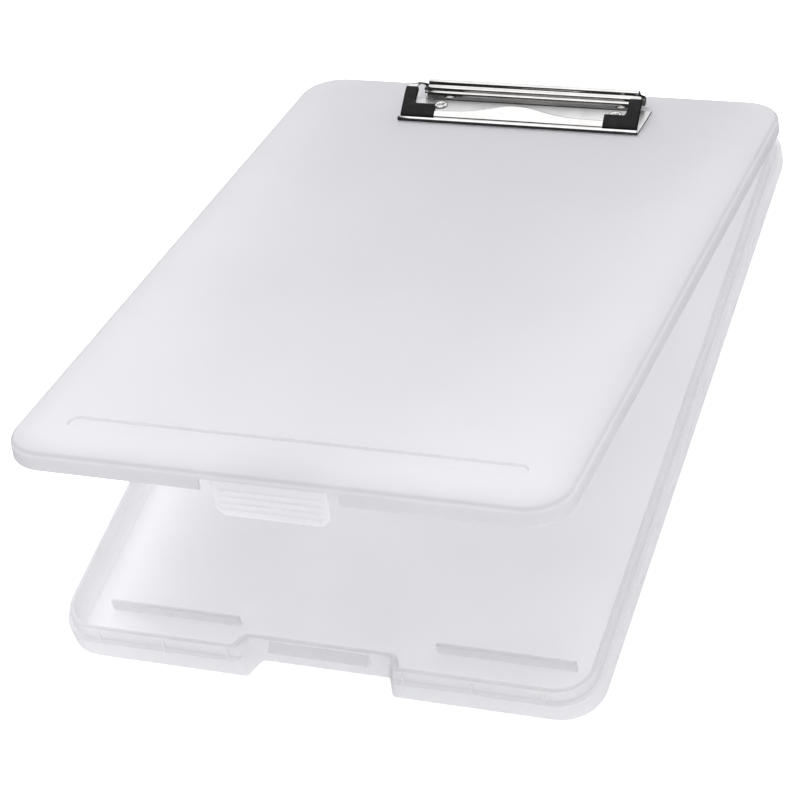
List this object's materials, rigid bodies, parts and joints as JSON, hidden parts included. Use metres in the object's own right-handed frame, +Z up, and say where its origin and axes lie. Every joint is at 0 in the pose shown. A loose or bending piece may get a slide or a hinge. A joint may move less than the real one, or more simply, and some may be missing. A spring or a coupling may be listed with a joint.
{
  "type": "storage clipboard",
  "caption": "Clipboard with a shallow see-through storage case: hinged lid with a low sprung clip, snap latch and paper compartment.",
  "frame": {"origin": "centre of the tray's flat underside, on the surface it rests on", "axes": "+Z up out of the tray; +Y from the latch to the lid hinge; +X to the right of someone facing the latch. At rest the lid stands 15 degrees open, as in the picture."},
  "size_m": [0.2376, 0.348, 0.1133],
  "materials": {
    "case_plastic": "frosted translucent polypropylene, satin, glossier on the rounded rims and the latch",
    "nickel": "bright nickel plate on pressed sheet steel",
    "spring_steel": "plain drawn wire and turned steel",
    "black_rubber": "soft matt black moulded rubber"
  },
  "bodies": {
    "tray_body": {"tray": "case_plastic", "hinge_pin_left": "spring_steel", "hinge_pin_right": "spring_steel"},
    "lid_body": {"lid": "case_plastic", "clip_base_plate": "nickel", "clip_spring_cover": "nickel", "clip_hinge_rod": "spring_steel", "torsion_spring_left": "spring_steel", "torsion_spring_right": "spring_steel", "clip_rivet_left": "nickel", "clip_rivet_right": "nickel", "rivet_washer_left": "spring_steel", "rivet_washer_right": "spring_steel"},
    "jaw_body": {"clip_jaw": "nickel", "rubber_corner_left": "black_rubber", "rubber_corner_right": "black_rubber"},
    "latch_body": {"latch_tab": "case_plastic"}
  },
  "joints": [
    {"name": "lid_hinge", "type": "hinge", "parent": "tray_body", "child": "lid_body", "pos_m": [0, 0.1735, 0.018], "axis": [-1, 0, 0], "range_deg": [-15, 135]},
    {"name": "clip_jaw_hinge", "type": "hinge", "parent": "lid_body", "child": "jaw_body", "pos_m": [0, 0.16007, 0.03278], "axis": [-1, 0, 0], "range_deg": [0, 80], "stiffness_Nm_per_rad": 0.15, "springref_deg": -60.16},
    {"name": "latch_flex", "type": "hinge", "parent": "lid_body", "child": "latch_body", "pos_m": [0, -0.15776, 0.10987], "axis": [-1, 0, 0], "range_deg": [0, 12], "stiffness_Nm_per_rad": 0.05}
  ]
}
